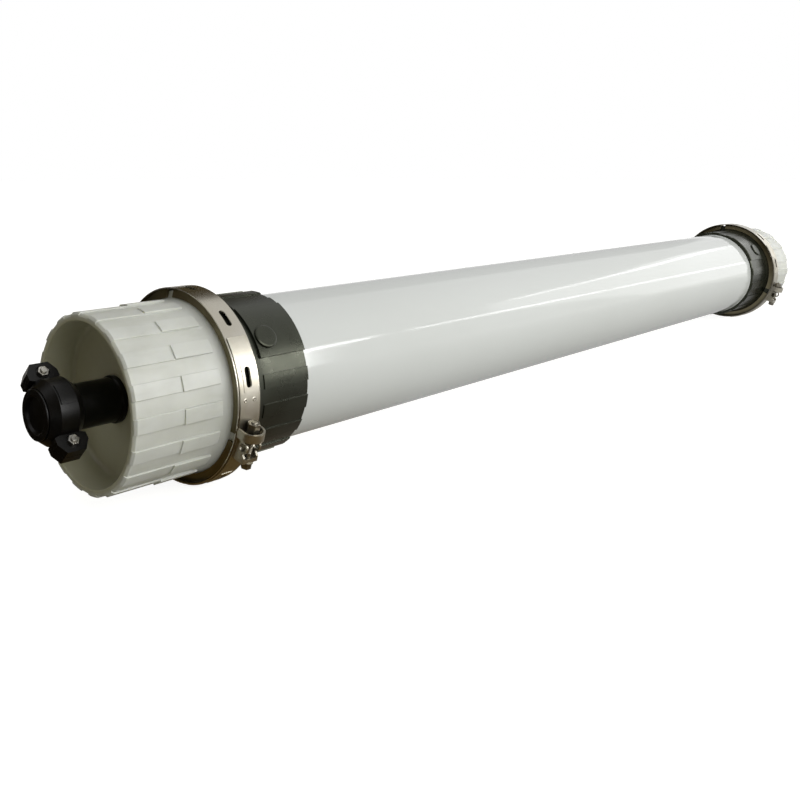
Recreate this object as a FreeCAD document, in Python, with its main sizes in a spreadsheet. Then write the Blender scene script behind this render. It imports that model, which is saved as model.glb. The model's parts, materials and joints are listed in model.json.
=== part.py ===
# Ultrafiltration membrane module, lying level. Millimetres.
# The origin is on the tube's axis at mid-length, +X runs from the plugged port to the open one, +Z is up.
# Angles round the axis are degrees from the top, growing towards -Y.
import FreeCAD, Part
import Sketcher
import math
import os
from FreeCAD import Placement, Rotation, Vector

doc = FreeCAD.newDocument("membrane_module")

# Driving sizes: name, value, meaning.
SIZES = [
    ("tube_diameter", 225, "outside of the shell tube"),
    ("tube_wall", 8.6, "wall of the shell tube"),
    ("tube_open_length", 1731.6, "tube between the lips of the two end sockets"),
    ("glue_gap", 0.15, "gap of a glued joint, and of a piece that sits in another"),
    ("seat_gap", 0.3, "gap between a clamped face and what grips it"),
    ("socket_depth", 126, "from the joint face to the socket's lip"),
    ("socket_stop", 20, "from the joint face to the shoulder that stops the tube"),
    ("socket_wall", 6.75, "wall of the socket round the tube"),
    ("lip_bevel", 1.6, "bevel of the socket's lip"),
    ("socket_rib_height", 2.0, "ribs of the socket above its skin"),
    ("socket_rib_start", 43, "from the joint face to where the socket's ribs begin"),
    ("plate_height", 4.0, "thick plate round the side plug, above the skin"),
    ("plate_start_angle", 27.6, "upper edge of that plate"),
    ("plate_span", 40, "width of that plate, in degrees"),
    ("plug_angle", 54.1, "side plug round the axis"),
    ("plug_place", 20, "from the start of the socket's ribs to the side plug's centre"),
    ("plug_radius", 17.5, "head of the side plug"),
    ("plug_edge", 4.5, "head of the side plug beyond its shank"),
    ("plug_head_height", 3.6, "head of the side plug"),
    ("plug_floor", 3.25, "socket left under the side plug's hole"),
    ("rib_pitch", 20, "pitch of the ribs, in degrees"),
    ("rib_span", 9.5, "width of a rib, in degrees"),
    ("cap_rib_angle", 8.6, "upper edge of the cap's first rib"),
    ("socket_rib_angle", 78.6, "upper edge of the socket's first rib"),
    ("cap_length", 161.3, "from the joint face to the cap's rim"),
    ("rim_wall", 9, "wall of the cap at its rim"),
    ("cup_draft", 2.2, "how much narrower the cup is at its floor"),
    ("cup_depth", 46.6, "from the rim to the cup's floor"),
    ("cup_floor", 12, "thickness of the cup's floor"),
    ("cup_corner", 7, "rounding between the cup's wall and floor"),
    ("rim_round", 3.2, "rounding of the rim's outer edge"),
    ("rim_inner_bevel", 1.2, "bevel of the rim's inner edge"),
    ("low_rib_height", 2.2, "cap ribs near the rim, above the skin"),
    ("high_rib_height", 4.4, "cap ribs near the clamp, above the skin"),
    ("rib_step", 72, "from the rim to the step of the cap's ribs"),
    ("cap_rib_end", 31, "from the joint face to where the cap's ribs end"),
    ("flare_length", 45, "hollow curve that leads up to the flange"),
    ("flare_rise", 5, "height of that curve above the skin"),
    ("cone_foot", 13, "from the joint face to the foot of the flange's cone"),
    ("cone_top", 9, "from the joint face to the top of the flange's cone"),
    ("cone_height", 10.1, "height of the flange's cone"),
    ("header_step", 0.1, "space inside cap and socket, beyond the tube's bore"),
    ("hub_wall", 9.7, "wall of the hub that holds the port pipe"),
    ("hub_length", 30, "hub behind the cup's floor"),
    ("seal_rise", 8, "from that space out to the middle of the seal ring"),
    ("seal_thickness", 5, "cord of the seal ring"),
    ("retainer_room", 1.75, "between the flange's rim and the retainer's web"),
    ("band_thickness", 1.6, "sheet of the clamp's band"),
    ("band_width", 37, "width of the clamp's band"),
    ("band_slot_length", 28, "slot in the band, end to end"),
    ("band_slot_width", 9, "slot in the band"),
    ("band_slot_pitch", 36, "pitch of the slots, in degrees"),
    ("band_slot_turn", 6.5, "from the latch bolt's foot to the slots' pattern, in degrees"),
    ("latch_angle", 106.6, "foot of the latch bolt's line, round the axis"),
    ("band_gap", 1.6, "gap between the ends of the band, in degrees"),
    ("retainer_sheet", 2, "sheet of the V retainers"),
    ("retainer_tip_gap", 0.8, "from the foot of the flange's cone up to the retainer's legs"),
    ("retainer_pause", 6, "space between two retainers, in degrees"),
    ("retainer_slot_margin", 1.5, "retainer's slots beyond the band's, all round"),
    ("strap_thickness", 1.2, "strap that carries the latch's upper lug"),
    ("strap_edge", 2.5, "band seen beside that strap"),
    ("strap_start", 54.1, "free end of the upper strap, round the axis"),
    ("frame_height", 0.6, "pressed frame round the strap's slot"),
    ("frame_edge", 4.5, "that frame beside the slot"),
    ("frame_span", 16, "length of that frame, in degrees"),
    ("bolt_height", 11, "latch bolt's axis above the band"),
    ("bolt_diameter", 8, "latch bolt"),
    ("bolt_clearance", 0.6, "bolt hole round its bolt, on the radius"),
    ("bolt_low", 42, "from the latch's middle down to the bolt's head"),
    ("bolt_high", 17.5, "from the latch's middle up to the bolt's end"),
    ("bolt_head_edge", 2.5, "flat of the bolt's hexagon beyond its shank"),
    ("bolt_head", 8, "thickness of the bolt's hexagon"),
    ("bolt_flange", 2, "round flange under that hexagon"),
    ("bolt_flange_edge", 2, "that flange beyond the hexagon's flats"),
    ("nut_wall", 4, "flat of the nut beyond the bolt"),
    ("nut_height", 17, "thickness of the nut"),
    ("nut_flange", 2, "round flange under the nut"),
    ("nut_flange_edge", 2.5, "that flange beyond the nut's flats"),
    ("arch_start", 7, "from the latch's middle down to the cup's floor"),
    ("arch_end", 5.5, "from the latch's middle up to the cup's mouth"),
    ("arch_room", 3.5, "space round the nut's flange in the cup"),
    ("arch_sheet", 3, "wall of the cup"),
    ("arch_floor", 3.5, "floor of the cup, which the nut pulls on"),
    ("bracket_gap", 3.2, "from the latch bolt's foot to the lower strap, in degrees"),
    ("eye_start", 10, "from the latch's middle down to the cheeks' round eyes"),
    ("eye_radius", 9, "round eyes of the cheeks"),
    ("eye_hole_radius", 6, "hole in each eye"),
    ("cheek_height", 6, "top of the cheeks above the bolt's axis"),
    ("cheek_half_gap", 9.5, "half the space between the cheeks"),
    ("cheek_sheet", 3, "sheet of the cheeks"),
    ("cross_plate", 6, "plate between the cheeks, which the head bears on"),
    ("pipe_diameter", 60.3, "port pipe"),
    ("pipe_wall", 4.4, "wall of the port pipe"),
    ("pipe_reach", 38.8, "port pipe beyond the cap's rim"),
    ("pipe_in_hub", 38, "port pipe glued into the hub, from the cup's floor"),
    ("collar_height", 2.2, "collar at the root of the port pipe"),
    ("collar_length", 8, "length of that collar"),
    ("groove_place", 14.5, "from the pipe's end to its groove"),
    ("groove_width", 7.5, "width of the groove"),
    ("groove_depth", 1.6, "depth of the groove"),
    ("pipe_gap", 3, "space between the pipe's end and the plug"),
    ("coupling_angle", 316.6, "upper ear of the coupling round the axis"),
    ("coupling_edge", 0.5, "side of the coupling beyond its key"),
    ("housing_wall", 6.2, "flat of the coupling outside the gasket's room"),
    ("coupling_flat", 12, "half width of that flat"),
    ("coupling_side_wall", 3.55, "edge of the coupling's sides outside the pipe"),
    ("coupling_split", 1, "gap between the two housings"),
    ("split_angle", 0.8, "each housing stops short of the half circle, in degrees"),
    ("key_width", 5.5, "key of the coupling that sits in the groove"),
    ("pocket_room", 6.65, "gasket's room outside the pipe"),
    ("pocket_edge", 1.5, "wall between that room and the key"),
    ("ear_rise", 8.5, "coupling's bolts outside its flat"),
    ("ear_end", 14.5, "from the coupling's bolts to the outer end of the ears"),
    ("ear_half_width", 20.5, "half width of the ears where they leave the body"),
    ("ear_tip_half_width", 12.5, "half width of the ears at their outer end"),
    ("ear_narrowing", 1.5, "from those bolts out to where the ears begin to narrow"),
    ("ear_thickness", 13, "ear of one housing, along its bolt"),
    ("ear_pocket_depth", 2, "round seat of the bolt's head in the ear"),
    ("ear_pocket_room", 3, "that seat beyond the head's flats"),
    ("boss_height", 1.3, "plain raised field on the coupling's flat"),
    ("boss_half_width", 10, "half width of that field"),
    ("boss_span", 38, "length of that field, in degrees"),
    ("coupling_bolt", 8, "coupling's bolt"),
    ("coupling_head_edge", 2.5, "flat of its hexagon beyond its shank"),
    ("coupling_head", 6, "thickness of its head and nut"),
    ("blank_disc_edge", 2.85, "disc at the front of the blank plug, beyond the pipe"),
    ("blank_dish_edge", 8.5, "rim of that disc round its dish"),
    ("plug_dish_depth", 4, "depth of that dish"),
    ("blank_disc", 2.5, "thickness of that disc"),
    ("potting_start", 2, "from the joint face to the resin"),
    ("potting_length", 58, "length of the resin"),
    ("potting_floor", 18, "resin in front of the fibres' ends"),
    ("potting_wall", 10.7, "resin round the fibres"),
    ("net_thickness", 1.5, "net sleeve round the bundle"),
]

# Sizes that follow from those above: name, formula, meaning.
FITTED = [
    ("tube_radius", "tube_diameter / 2", "outside of the shell tube"),
    ("skin_radius", "tube_radius + glue_gap + socket_wall", "plain skin of socket and cap, between their ribs"),
    ("flare_radius", "skin_radius + flare_rise", "foot of the flange's cone"),
    ("flange_radius", "flare_radius + cone_height", "rim of the flange"),
    ("cup_radius", "skin_radius - rim_wall", "mouth of the cap's cup"),
    ("header_radius", "tube_radius - tube_wall + header_step", "space inside cap and socket"),
    ("seal_radius", "header_radius + seal_rise", "middle of the seal ring"),
    ("bundle_radius", "header_radius - glue_gap * 2 - potting_wall", "bundle of hollow fibres"),
    ("plug_shank_radius", "plug_radius - plug_edge", "shank of the side plug"),
    ("retainer_top", "flange_radius + retainer_room + retainer_sheet", "outside of the retainers"),
    ("band_radius", "retainer_top + glue_gap + band_thickness", "outside of the clamp's band"),
    ("retainer_tip", "flare_radius + retainer_tip_gap", "inner edge of the retainer's legs"),
    ("retainer_span", "120 - retainer_pause", "length of one retainer, in degrees"),
    ("strap_width", "band_width - strap_edge * 2", "width of the latch's straps"),
    ("frame_width", "band_slot_width + frame_edge * 2", "width of the strap's pressed frame"),
    ("bolt_flats", "bolt_diameter + bolt_head_edge * 2", "bolt's hexagon across flats"),
    ("bolt_flange_radius", "bolt_flats / 2 + bolt_flange_edge", "round flange of the bolt"),
    ("nut_flats", "bolt_diameter + nut_wall * 2", "nut across flats"),
    ("nut_flange_radius", "nut_flats / 2 + nut_flange_edge", "round flange of the nut"),
    ("arch_half_width", "nut_flange_radius + arch_room + arch_sheet", "half width of the latch's cup"),
    ("pipe_radius", "pipe_diameter / 2", "outside of the port pipe"),
    ("hub_radius", "pipe_radius + glue_gap + hub_wall", "hub that holds the port pipe"),
    ("groove_middle", "pipe_gap / 2 + groove_place + groove_width / 2", "groove from the coupling's middle"),
    ("coupling_half_width", "groove_middle + key_width / 2 + coupling_edge", "half width of the coupling"),
    ("pocket_half_width", "groove_middle - key_width / 2 - pocket_edge", "half width of the gasket's room"),
    ("pocket_radius", "pipe_radius + pocket_room", "gasket's room"),
    ("coupling_radius", "pocket_radius + housing_wall", "flat outside of the coupling"),
    ("coupling_side_radius", "pipe_radius + seat_gap + coupling_side_wall", "edge of the coupling's sides"),
    ("ear_place", "coupling_radius + ear_rise", "coupling's bolts from the axis"),
    ("ear_reach", "ear_place + ear_end", "outer end of the ears"),
    ("ear_shoulder", "ear_place + ear_narrowing", "where the ears begin to narrow"),
    ("coupling_flats", "coupling_bolt + coupling_head_edge * 2", "hexagon of the coupling's bolts across flats"),
    ("ear_pocket_radius", "coupling_flats / 2 + ear_pocket_room", "round seat of the bolt's head in the ear"),
    ("blank_disc_radius", "pipe_radius + blank_disc_edge", "disc at the front of the blank plug"),
    ("blank_dish_radius", "blank_disc_radius - blank_dish_edge", "dish in the blank plug's face"),
]

sheet = doc.addObject("Spreadsheet::Sheet", "sizes")
for row, (name, value, meaning) in enumerate(SIZES + FITTED, start=1):
    sheet.set("A%d" % row, name)
    sheet.set("B%d" % row, "=" + value if isinstance(value, str) else str(value))
    sheet.set("C%d" % row, meaning)
    sheet.setAlias("B%d" % row, name)
doc.recompute()

class Length:
    # A number together with the expression over the sheet that gives it.
    def __init__(self, number, text):
        self.number = number
        self.text = text

    def joined(self, sign, other, number):
        return Length(number, "(%s %s %s)" % (self.text, sign, other.text))

    def __add__(self, other):
        other = length(other)
        return self.joined("+", other, self.number + other.number)

    def __sub__(self, other):
        other = length(other)
        return self.joined("-", other, self.number - other.number)

    def __rsub__(self, other):
        return length(other) - self

    def __mul__(self, other):
        other = length(other)
        return self.joined("*", other, self.number * other.number)

    def __truediv__(self, other):
        other = length(other)
        return self.joined("/", other, self.number / other.number)

    def __neg__(self):
        return Length(-self.number, "(-%s)" % self.text)


def length(value):
    return value if isinstance(value, Length) else Length(value, repr(value))


def size(name):
    return Length(sheet.get(name), "sizes.%s" % name)


def sine(angle):
    return Length(math.sin(math.radians(angle.number)), "sin(%s * 1deg)" % angle.text)


def cosine(angle):
    return Length(math.cos(math.radians(angle.number)), "cos(%s * 1deg)" % angle.text)


ZERO = Length(0.0, "0")

# Radii and places along the axis that several pieces share, from the joint face of an end.
tube_radius = size("tube_radius")
tube_bore = tube_radius - size("tube_wall")
joint_face = size("tube_open_length") / 2 + size("socket_depth")
cup_floor_place = -(size("cap_length") - size("cup_depth"))
floor_back = cup_floor_place + size("cup_floor")
flare_end = size("cone_foot")
flare_start = size("cone_foot") + size("flare_length")
band_inside = size("band_radius") - size("band_thickness")
slots_angle = size("latch_angle") + size("band_slot_turn")
pipe_radius = size("pipe_radius")
pipe_end = -(size("cap_length") + size("pipe_reach"))
coupling_centre = pipe_end - size("pipe_gap") / 2
coupling_middle = size("coupling_angle") + 90 - 360
bolt_axis = size("band_radius") + size("bolt_height")
strap_inside = size("band_radius") + size("glue_gap")
strap_outside = strap_inside + size("strap_thickness")
groove_floor = pipe_radius - size("groove_depth")
bolt_hole = size("bolt_diameter") / 2 + size("bolt_clearance")
plug_middle = size("socket_rib_start") + size("plug_place")
plug_hole_floor = tube_radius + size("glue_gap") + size("plug_floor")


def bind(thing, path, value):
    # Sets a property through the sheet.
    thing.setExpression(path, value.text)


def new_body(label):
    body = doc.addObject("PartDesign::Body", label)
    body.Label = label
    return body


def new_sketch(body, role):
    # An empty sketch on an origin plane of its body.
    sketch = body.newObject("Sketcher::SketchObject", body.Label + "_sketch")
    plane = [feature for feature in body.Origin.OriginFeatures if feature.Role == role][0]
    sketch.AttachmentSupport = [(plane, "")]
    sketch.MapMode = "FlatFace"
    return sketch


def turn_sketch(sketch, turn, height=ZERO):
    # Turns a sketch about the tube's axis, then moves it along its own normal.
    rotation = Rotation(Vector(1, 0, 0), turn.number)
    sketch.AttachmentOffset = Placement(rotation.multVec(Vector(0, 0, height.number)), rotation)
    bind(sketch, "AttachmentOffset.Base.y", -(height * sine(turn)))
    bind(sketch, "AttachmentOffset.Base.z", height * cosine(turn))
    bind(sketch, "AttachmentOffset.Rotation.Angle", turn)


def fix_point(sketch, geometry, end, across, up):
    # Ties one end of a line or arc to its place, measured from the sketch's origin.
    for kind, value, axis in (("DistanceX", across, -2), ("DistanceY", up, -1)):
        if abs(value.number) < 1e-9:
            sketch.addConstraint(Sketcher.Constraint("PointOnObject", geometry, end, axis))
            continue
        index = sketch.addConstraint(Sketcher.Constraint(kind, -1, 1, geometry, end, value.number))
        sketch.setExpression("Constraints[%d]" % index, value.text)


def tangent_arc(start, end, before):
    # The arc from start to end that goes on in the direction from before to start, and whether it
    # runs anticlockwise.
    heading = (Vector(*start) - Vector(*before)).normalize()
    normal = Vector(-heading.y, heading.x, 0)
    chord = Vector(*end) - Vector(*start)
    radius = chord.dot(chord) / (2 * chord.dot(normal))
    centre = Vector(*start) + normal * radius
    first = math.atan2(start[1] - centre.y, start[0] - centre.x)
    last = math.atan2(end[1] - centre.y, end[0] - centre.x)
    anticlockwise = radius > 0
    if not anticlockwise:
        first, last = last, first
    if last <= first:
        last = last + 2 * math.pi
    circle = Part.Circle(centre, Vector(0, 0, 1), abs(radius))
    return Part.ArcOfCircle(circle, first, last), anticlockwise


def draw_outline(sketch, outline):
    # A closed outline of points (across, up). A point marked "arc" is reached by an arc that is
    # tangent to the line before it.
    count = len(outline)
    flat = [(point[0].number, point[1].number, 0) for point in outline]
    curves = []
    ends = []
    for index in range(count):
        following = (index + 1) % count
        if len(outline[following]) == 3:
            arc, anticlockwise = tangent_arc(flat[index], flat[following], flat[index - 1])
            curves.append(sketch.addGeometry(arc, False))
            ends.append((1, 2) if anticlockwise else (2, 1))
        else:
            line = Part.LineSegment(Vector(*flat[index]), Vector(*flat[following]))
            curves.append(sketch.addGeometry(line, False))
            ends.append((1, 2))
    for index, curve in enumerate(curves):
        is_arc = len(outline[(index + 1) % count]) == 3
        kind = "Tangent" if is_arc else "Coincident"
        sketch.addConstraint(Sketcher.Constraint(
            kind, curves[index - 1], ends[index - 1][1], curve, ends[index][0]))
    for index, curve in enumerate(curves):
        fix_point(sketch, curve, ends[index][0], outline[index][0], outline[index][1])


def draw_circle(sketch, across, up, radius):
    circle = Part.Circle(Vector(across.number, up.number, 0), Vector(0, 0, 1), radius.number)
    index = sketch.addGeometry(circle, False)
    fix_point(sketch, index, 3, across, up)
    constraint = sketch.addConstraint(Sketcher.Constraint("Radius", index, radius.number))
    sketch.setExpression("Constraints[%d]" % constraint, radius.text)


def draw_hexagon(sketch, across, up, flats):
    corner = flats / 2 / cosine(length(30))
    points = []
    for step in range(6):
        angle = length(60 * step)
        points.append((across + corner * cosine(angle), up + corner * sine(angle)))
    draw_outline(sketch, points)


def rectangle(left, right, low, high):
    return [(left, low), (right, low), (right, high), (left, high)]


def finish(body, sketch, kind, name):
    feature = body.newObject(kind, body.Label + name)
    feature.Profile = sketch
    return feature


def spin(body, outline, turn=ZERO, span=None, kind="PartDesign::Revolution"):
    # Turns an outline (along the axis, radius) about the axis, all round or through a span.
    sketch = new_sketch(body, "XZ_Plane")
    turn_sketch(sketch, turn)
    draw_outline(sketch, outline)
    feature = finish(body, sketch, kind, "_turned")
    feature.ReferenceAxis = (sketch, ["H_Axis"])
    feature.Angle = 360.0 if span is None else span.number
    if span is not None:
        bind(feature, "Angle", span)
    return feature


def spread(body, feature, count, pitch):
    # Repeats a feature round the axis.
    pattern = body.newObject("PartDesign::PolarPattern", body.Label + "_pattern")
    pattern.Originals = [feature]
    axis = [part for part in body.Origin.OriginFeatures if part.Role == "X_Axis"][0]
    pattern.Axis = (axis, [""])
    pattern.Occurrences = count
    span = pitch * (count - 1)
    pattern.Angle = span.number
    bind(pattern, "Angle", span)
    body.Tip = pattern
    return pattern


def push(body, sketch, begin, end, kind):
    feature = finish(body, sketch, kind, "_pushed")
    span = end - begin
    feature.Length = span.number
    bind(feature, "Length", span)
    if kind == "PartDesign::Pocket":
        feature.Reversed = True
    body.Tip = feature
    return feature


def push_outwards(body, draw, begin, end, turn=ZERO, kind="PartDesign::Pad"):
    # Extrudes along the radius at an angle. The sketch's coordinates are along the axis and along
    # the tangent, upwards.
    sketch = new_sketch(body, "XY_Plane")
    turn_sketch(sketch, turn, begin)
    draw(sketch)
    return push(body, sketch, begin, end, kind)


def push_tangent(body, draw, begin, end, turn=ZERO, kind="PartDesign::Pad"):
    # Extrudes along the tangent at an angle, from begin up to end. The sketch's coordinates are
    # along the axis and along the radius.
    sketch = new_sketch(body, "XZ_Plane")
    turn_sketch(sketch, turn, -end)
    draw(sketch)
    return push(body, sketch, begin, end, kind)


def push_along(body, draw, begin, end, turn=ZERO, kind="PartDesign::Pad"):
    # Extrudes along the axis. The sketch's coordinates are along the tangent, upwards, and along
    # the radius at an angle.
    sketch = new_sketch(body, "YZ_Plane")
    sketch.AttachmentOffset = Placement(Vector(0, 0, begin.number), Rotation(Vector(0, 0, 1), turn.number))
    bind(sketch, "AttachmentOffset.Base.z", begin)
    bind(sketch, "AttachmentOffset.Rotation.Angle", turn)
    draw(sketch)
    return push(body, sketch, begin, end, kind)


def place(body, at, turn=ZERO):
    body.Placement = Placement(Vector(at.number, 0, 0), Rotation(Vector(1, 0, 0), turn.number))
    bind(body, "Placement.Base.x", at)
    bind(body, "Placement.Rotation.Angle", turn)
    return body


def place_far(body):
    # Turned end for end about the vertical. Bodies placed so are made with their angles negated.
    body.Placement = Placement(Vector(joint_face.number, 0, 0), Rotation(Vector(0, 0, 1), 180))
    bind(body, "Placement.Base.x", joint_face)
    return body


def start_angle(far, start, span):
    return -(start + span) if far else start


# Tube, resin and fibres

def make_shell_tube(label):
    body = new_body(label)
    half = joint_face - size("socket_stop") - size("glue_gap")
    spin(body, rectangle(-half, half, tube_bore, tube_radius))
    return body


def make_potting(label):
    # A disc of resin that holds the fibres' ends in the tube.
    body = new_body(label)
    start = size("potting_start")
    end = start + size("potting_length")
    hole = start + size("potting_floor")
    hole_radius = size("bundle_radius") + size("glue_gap")
    radius = size("header_radius") - size("glue_gap") * 2
    spin(body, [(start, ZERO), (hole, ZERO), (hole, hole_radius), (end, hole_radius),
                (end, radius), (start, radius)])
    return body


def make_fibre_bundle(label):
    body = new_body(label)
    half = joint_face - size("potting_start") - size("potting_floor") - size("glue_gap")
    spin(body, [(-half, ZERO), (half, ZERO), (half, size("bundle_radius")), (-half, size("bundle_radius"))])
    return body


def make_bundle_net(label):
    body = new_body(label)
    half = joint_face - size("potting_start") - size("potting_length") - size("glue_gap")
    inside = size("bundle_radius") + size("glue_gap")
    spin(body, rectangle(-half, half, inside, inside + size("net_thickness")))
    return body


# End socket, side plug and seal

def make_end_socket(label, far):
    # Glued over the tube's end. Its flange is one half of the clamped joint at x = 0.
    body = new_body(label)
    bore = tube_radius + size("glue_gap")
    lip = size("socket_depth")
    skin = size("skin_radius")
    bevel = size("lip_bevel")
    spin(body, [
        (ZERO, size("header_radius")), (size("socket_stop"), size("header_radius")),
        (size("socket_stop"), bore), (lip, bore), (lip, skin - bevel), (lip - bevel, skin),
        (flare_start, skin), (flare_end, size("flare_radius"), "arc"),
        (size("cone_top"), size("flange_radius")), (ZERO, size("flange_radius"))])
    root = skin - bevel
    rib_top = skin + size("socket_rib_height")
    count = 16
    pitch = size("rib_pitch")
    first = start_angle(far, size("socket_rib_angle"), size("rib_span"))
    if far:
        first = first - pitch * (count - 1)
    rib = spin(body, [
        (size("socket_rib_start"), root), (lip, root), (lip, rib_top - bevel),
        (lip - bevel, rib_top), (size("socket_rib_start"), rib_top)], first, size("rib_span"))
    spread(body, rib, count, pitch)
    plate_top = skin + size("plate_height")
    plate = spin(body, [
        (size("socket_rib_start"), root), (lip, root), (lip, plate_top - bevel),
        (lip - bevel, plate_top), (size("socket_rib_start"), plate_top)],
        start_angle(far, size("plate_start_angle"), size("plate_span")), size("plate_span"))
    body.Tip = plate
    # Blind hole for the side plug, cut outwards from its floor.
    push_outwards(
        body, lambda sketch: draw_circle(
            sketch, plug_middle, ZERO, size("plug_shank_radius") + size("glue_gap")),
        plug_hole_floor, plate_top + size("plug_head_height"),
        start_angle(far, size("plug_angle"), ZERO), "PartDesign::Pocket")
    return body


def make_side_plug(label):
    # A round plug with a low domed head, which closes the hole in the socket's plate.
    body = new_body(label)
    plate_top = size("skin_radius") + size("plate_height")
    seat = plate_top + size("glue_gap")
    foot = plug_hole_floor + size("glue_gap")
    head = size("plug_head_height")
    radius = size("plug_radius")
    shank = size("plug_shank_radius")
    sketch = new_sketch(body, "XZ_Plane")
    draw_outline(sketch, [
        (ZERO, foot), (shank, foot), (shank, seat), (radius, seat), (radius, seat + head * 0.5),
        (radius - head * 0.6, seat + head * 0.85), (ZERO, seat + head)])
    turned = finish(body, sketch, "PartDesign::Revolution", "_turned")
    turned.ReferenceAxis = (sketch, ["V_Axis"])
    turned.Angle = 360.0
    return body


def make_seal_ring(label, at):
    ring = doc.addObject("Part::Torus", label)
    ring.Label = label
    bind(ring, "Radius1", size("seal_radius"))
    bind(ring, "Radius2", size("seal_thickness") / 2)
    ring.Placement = Placement(Vector(at.number, 0, 0), Rotation(Vector(0, 1, 0), 90))
    bind(ring, "Placement.Base.x", at)
    return ring


# End cap and port pipe

def make_end_cap(label, far):
    # The joint face is at x = 0 and the cup opens towards -x.
    body = new_body(label)
    rim = -size("cap_length")
    skin = size("skin_radius")
    mouth = size("cup_radius")
    floor_radius = mouth - size("cup_draft")
    corner = size("cup_corner")
    bevel = size("rim_inner_bevel")
    rounding = size("rim_round")
    header = size("header_radius")
    pipe_hole = pipe_radius + size("glue_gap")
    pipe_bore = pipe_radius - size("pipe_wall")
    pipe_stop = cup_floor_place + size("pipe_in_hub") + size("glue_gap")
    hub_end = floor_back + size("hub_length")
    seal = size("seal_radius")
    half_groove = size("seal_thickness") / 2 + size("glue_gap")
    face = -size("glue_gap")
    spin(body, [
        (rim, mouth + bevel), (rim, skin - rounding), (rim + rounding, skin),
        (-flare_start, skin), (-flare_end, size("flare_radius"), "arc"),
        (-size("cone_top"), size("flange_radius")), (face, size("flange_radius")),
        (face, seal + half_groove), (-size("seal_thickness"), seal + half_groove),
        (-size("seal_thickness"), seal - half_groove), (face, seal - half_groove),
        (face, header), (floor_back, header), (floor_back, size("hub_radius")),
        (hub_end, size("hub_radius")), (hub_end, pipe_bore), (pipe_stop, pipe_bore),
        (pipe_stop, pipe_hole), (cup_floor_place, pipe_hole),
        (cup_floor_place, floor_radius - corner), (cup_floor_place - corner, floor_radius, "arc"),
        (rim + bevel, mouth)])
    root = skin - rounding
    low_top = skin + size("low_rib_height")
    high_top = skin + size("high_rib_height")
    step = rim + size("rib_step")
    rib = spin(body, [
        (rim, root), (-size("cap_rib_end"), root), (-size("cap_rib_end"), high_top),
        (step, high_top), (step, low_top), (rim + rounding, low_top), (rim, low_top - rounding)],
        start_angle(far, size("cap_rib_angle"), size("rib_span")), size("rib_span"))
    spread(body, rib, 18, size("rib_pitch"))
    return body


def make_port_pipe(label):
    # A grooved pipe end. It is glued into the cap's hub and stands out past the rim.
    body = new_body(label)
    bore = pipe_radius - size("pipe_wall")
    inner_end = cup_floor_place + size("pipe_in_hub")
    groove = pipe_end + size("groove_place")
    groove_end = groove + size("groove_width")
    collar = pipe_radius + size("collar_height")
    collar_end = cup_floor_place - size("glue_gap")
    collar_start = collar_end - size("collar_length")
    spin(body, [
        (pipe_end, bore), (pipe_end, pipe_radius), (groove, pipe_radius), (groove, groove_floor),
        (groove_end, groove_floor), (groove_end, pipe_radius), (collar_start, pipe_radius),
        (collar_start + size("collar_height"), collar), (collar_end, collar),
        (collar_end, pipe_radius), (inner_end, pipe_radius), (inner_end, bore)])
    return body


# Clamp

def cut_slot(body, angle, margin=ZERO):
    # An oblong hole, long way round the axis, cut outwards from the axis.
    radius = size("band_slot_width") / 2 + margin
    straight = (size("band_slot_length") - size("band_slot_width")) / 2

    def draw(sketch):
        draw_outline(sketch, [
            (-radius, -straight, "arc"), (-radius, straight), (radius, straight, "arc"),
            (radius, -straight)])

    return push_outwards(body, draw, ZERO, size("band_radius") * 1.05, angle, "PartDesign::Pocket")


def make_clamp_band(label):
    # A flat band with oblong slots, open under the latch.
    body = new_body(label)
    half = size("band_width") / 2
    start = size("latch_angle") + size("band_gap") / 2
    spin(body, rectangle(-half, half, band_inside, size("band_radius")),
         start, 360 - size("band_gap"))
    cut = cut_slot(body, slots_angle + size("band_slot_pitch"))
    spread(body, cut, 9, size("band_slot_pitch"))
    return body


def make_retainer(label, index):
    # A third of the V retainer: a web under the band and two legs that bear on the flanges' cones.
    body = new_body(label)
    slope = (size("cone_foot") - size("cone_top")) / (size("flange_radius") - size("flare_radius"))
    web_top = band_inside - size("glue_gap")
    web_low = web_top - size("retainer_sheet")
    tip = size("retainer_tip")
    inner_top = size("cone_top") + size("seat_gap") + slope * (size("flange_radius") - web_low)
    inner_tip = size("cone_top") + size("seat_gap") + slope * (size("flange_radius") - tip)
    outer_tip = inner_tip + size("retainer_sheet") * 1.1
    web = inner_top + size("retainer_sheet") * 1.1
    pause = size("retainer_pause")
    start = slots_angle + pause / 2 + (size("retainer_span") + pause) * index
    spin(body, [
        (-web, web_top), (-outer_tip, tip), (-inner_tip, tip), (-inner_top, web_low),
        (inner_top, web_low), (inner_tip, tip), (outer_tip, tip), (web, web_top)],
        start, size("retainer_span"))
    for number in range(1, 4):
        angle = slots_angle + size("band_slot_pitch") * (number + index * 3)
        cut_slot(body, angle, size("retainer_slot_margin"))
    return body


def add_strap(body, start, end, slot):
    # A strap that lies on the band, with a pressed frame round its slot.
    half = size("strap_width") / 2
    spin(body, rectangle(-half, half, strap_inside, strap_outside), start, end - start)
    half_frame = size("frame_width") / 2
    middle = (strap_inside + strap_outside) / 2
    frame = spin(body, rectangle(-half_frame, half_frame, middle, strap_outside + size("frame_height")),
                 slot - size("frame_span") / 2, size("frame_span"))
    body.Tip = frame
    cut_slot(body, slot)


def clear_band(body):
    # Takes away what reaches down into the band.
    half = size("band_width")
    groove = spin(body, rectangle(-half, half, size("header_radius"), strap_inside),
                  kind="PartDesign::Groove")
    body.Tip = groove


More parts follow.
